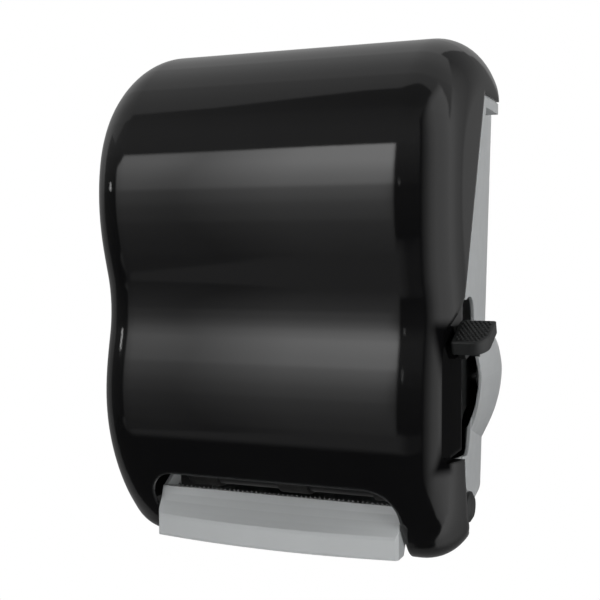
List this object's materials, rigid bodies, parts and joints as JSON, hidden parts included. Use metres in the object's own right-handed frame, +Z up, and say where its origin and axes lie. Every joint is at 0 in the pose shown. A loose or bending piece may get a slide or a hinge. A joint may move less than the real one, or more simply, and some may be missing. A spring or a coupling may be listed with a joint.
{
  "type": "lever roll towel dispenser",
  "caption": "Wall-mounted lever roll paper towel dispenser: curved hinged cover, grey tray with side lever, feed rollers and gears, roll arms, chute with tear bar.",
  "frame": {"origin": "middle of the four wall screws, on the back face of the chassis, which is the wall plane", "axes": "+X to the right of a user facing the dispenser, +Y into the wall, +Z up"},
  "size_m": [0.326, 0.2348, 0.4195],
  "materials": {
    "black_gloss": "gloss",
    "grey_plastic": "matte",
    "black_plastic": "satin",
    "white_plastic": "satin",
    "steel": "brushed",
    "rubber": "matte",
    "brass": "satin"
  },
  "bodies": {
    "chassis": {"chassis": "grey_plastic", "side_frame_right": "black_plastic", "side_frame_left": "black_plastic", "nose_chute": "grey_plastic", "tear_bar": "steel", "tear_bar_screws": "steel", "nose_screws": "steel", "back_screws": "steel", "drive_bushes": "brass", "lever_pivot_pin": "steel", "idler_pin": "steel", "hinge_pins": "black_plastic", "roll_arm_right": "grey_plastic", "roll_arm_bracket": "steel", "roll_arm_pin": "steel", "stub_cradle": "grey_plastic", "towel_guide": "grey_plastic", "lock_keeper": "steel"},
    "cover": {"front_cover": "black_gloss", "lock_housing": "steel", "lock_nut": "steel"},
    "lock": {"lock_core": "steel"},
    "lever": {"lever": "black_plastic", "lever_sector": "black_plastic", "lever_spring": "steel"},
    "idler": {"idler_gear": "white_plastic"},
    "clutch_gear": {"clutch_gear": "white_plastic"},
    "drive_roller": {"drive_roller": "black_plastic", "drive_bands": "rubber"},
    "pressure_roller": {"pressure_roller": "white_plastic"},
    "left_arm": {"roll_arm_left": "grey_plastic"},
    "left_hub": {"roll_hub_left": "black_plastic"},
    "right_hub": {"roll_hub_right": "black_plastic"},
    "transfer_bar": {"transfer_bar": "black_plastic"}
  },
  "joints": [
    {"name": "cover_hinge", "type": "hinge", "parent": "chassis", "child": "cover", "pos_m": [0, -0.124, -0.1717], "axis": [1, 0, 0], "range_deg": [0, 90]},
    {"name": "lock_turn", "type": "hinge", "parent": "cover", "child": "lock", "pos_m": [0, -0.087, 0.2], "axis": [0, 0, -1], "range_deg": [0, 90]},
    {"name": "lever_stroke", "type": "hinge", "parent": "chassis", "child": "lever", "pos_m": [0.124, -0.058, -0.072], "axis": [1, 0, 0], "range_deg": [0, 30], "stiffness_Nm_per_rad": 0.9, "springref_deg": -14.32},
    {"name": "idler_turn", "type": "hinge", "parent": "chassis", "child": "idler", "pos_m": [0.116, -0.1, -0.15833], "axis": [1, 0, 0], "range_deg": [-211, 1]},
    {"name": "clutch_turn", "type": "hinge", "parent": "chassis", "child": "clutch_gear", "pos_m": [0.1125, -0.14, -0.152], "axis": [1, 0, 0], "range_deg": [-1, 421]},
    {"name": "drive_roller_turn", "type": "hinge", "parent": "chassis", "child": "drive_roller", "pos_m": [0, -0.14, -0.152], "axis": [1, 0, 0], "continuous": true},
    {"name": "pressure_roller_turn", "type": "hinge", "parent": "chassis", "child": "pressure_roller", "pos_m": [0, -0.1542, -0.1274], "axis": [1, 0, 0], "continuous": true},
    {"name": "left_arm_swing", "type": "hinge", "parent": "chassis", "child": "left_arm", "pos_m": [-0.106, -0.013, 0.0723], "axis": [0, 0, -1], "range_deg": [0, 12]},
    {"name": "left_hub_turn", "type": "hinge", "parent": "left_arm", "child": "left_hub", "pos_m": [-0.1, -0.118, 0.0723], "axis": [1, 0, 0], "continuous": true},
    {"name": "right_hub_turn", "type": "hinge", "parent": "chassis", "child": "right_hub", "pos_m": [0.1, -0.118, 0.0723], "axis": [1, 0, 0], "continuous": true},
    {"name": "transfer_bar_lift", "type": "hinge", "parent": "chassis", "child": "transfer_bar", "pos_m": [0, -0.1, -0.105], "axis": [-1, 0, 0], "range_deg": [0, 20]}
  ],
  "couplings": [
    {"joint": "idler_turn", "follows": "lever_stroke", "ratio": -7},
    {"joint": "clutch_turn", "follows": "lever_stroke", "ratio": 14},
    {"joint": "pressure_roller_turn", "follows": "drive_roller_turn", "ratio": -1.5455}
  ]
}
